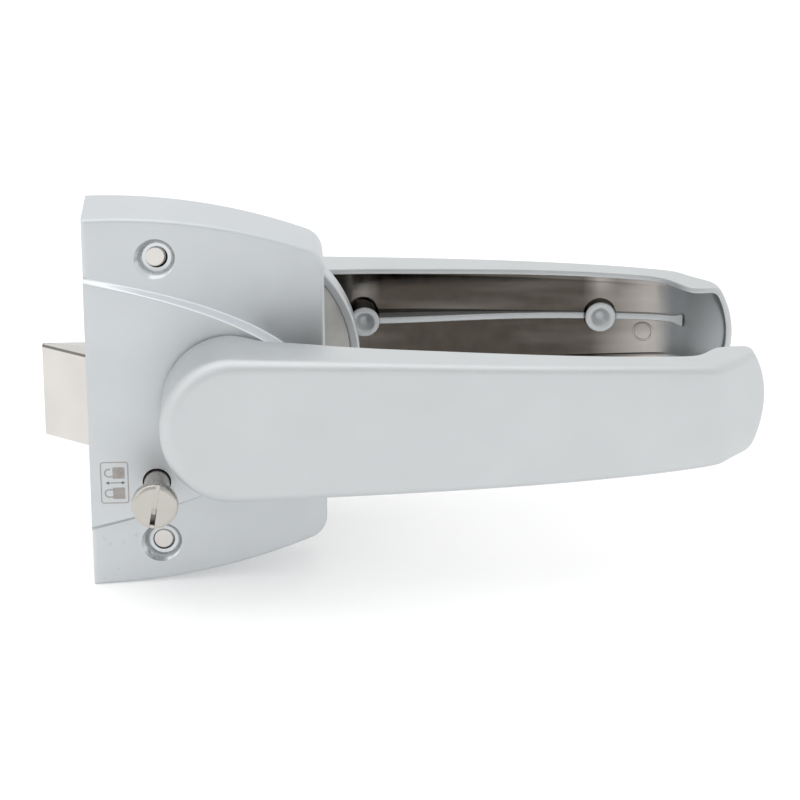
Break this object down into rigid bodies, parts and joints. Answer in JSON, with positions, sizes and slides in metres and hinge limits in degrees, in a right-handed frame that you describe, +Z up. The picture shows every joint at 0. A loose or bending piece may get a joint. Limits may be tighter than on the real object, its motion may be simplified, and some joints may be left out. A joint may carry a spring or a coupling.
{
  "type": "lever handle lock",
  "caption": "Surface-mounted lever handle lock: arched wedge case with bevelled latch bolt, push-pull locking knob, round outer rosette and two hollow cast levers on one square spindle.",
  "frame": {"origin": "the pivot axis of the levers, in the plane of the door side face of the case", "axes": "+X towards the lever tips, +Y from the room side through the door to the outer side, +Z up"},
  "size_m": [0.1745, 0.0972, 0.0922],
  "materials": {
    "satin_chrome": "satin",
    "bright_nickel": "polished",
    "steel": "plain",
    "black_steel": "blackened",
    "nylon": "matte"
  },
  "bodies": {
    "case": {"lock_case": "satin_chrome", "back_plate": "steel", "case_screws": "steel", "fixing_stud_upper": "bright_nickel", "fixing_stud_lower": "bright_nickel", "bolt_guide": "nylon", "latch_spring": "steel", "lever_return_spring": "steel", "spring_post": "steel", "inner_lever_bush": "nylon", "knob_bush": "nylon", "detent_ball": "steel", "detent_spring": "steel", "detent_plug": "steel", "outer_rosette": "satin_chrome", "rosette_base": "steel", "outer_lever_bush": "nylon", "through_screws": "steel", "through_sleeves": "steel"},
    "levers": {"inner_lever": "satin_chrome", "outer_lever": "satin_chrome", "spindle": "steel", "follower": "steel", "follower_pin": "steel", "inner_grub_screw": "black_steel", "outer_grub_screw": "black_steel"},
    "latch": {"latch_bolt": "bright_nickel", "bolt_tail": "steel", "tail_pins": "steel"},
    "knob": {"knob_head": "bright_nickel", "knob_stem": "bright_nickel", "lock_dog": "steel", "dog_clip": "black_steel"}
  },
  "joints": [
    {"name": "lever_turn", "type": "hinge", "parent": "case", "child": "levers", "pos_m": [0, 0, 0], "axis": [0, 1, 0], "range_deg": [0, 40], "stiffness_Nm_per_rad": 0.9, "springref_deg": -25.78, "deforming": ["lever_return_spring"]},
    {"name": "latch_slide", "type": "slide", "parent": "case", "child": "latch", "axis": [1, 0, 0], "range_m": [0, 0.01131], "deforming": ["latch_spring"]},
    {"name": "knob_push", "type": "slide", "parent": "case", "child": "knob", "axis": [0, 1, 0], "range_m": [0, 0.008]}
  ],
  "couplings": [
    {"joint": "latch_slide", "follows": "lever_turn", "m_per_rad": 0.016186}
  ]
}
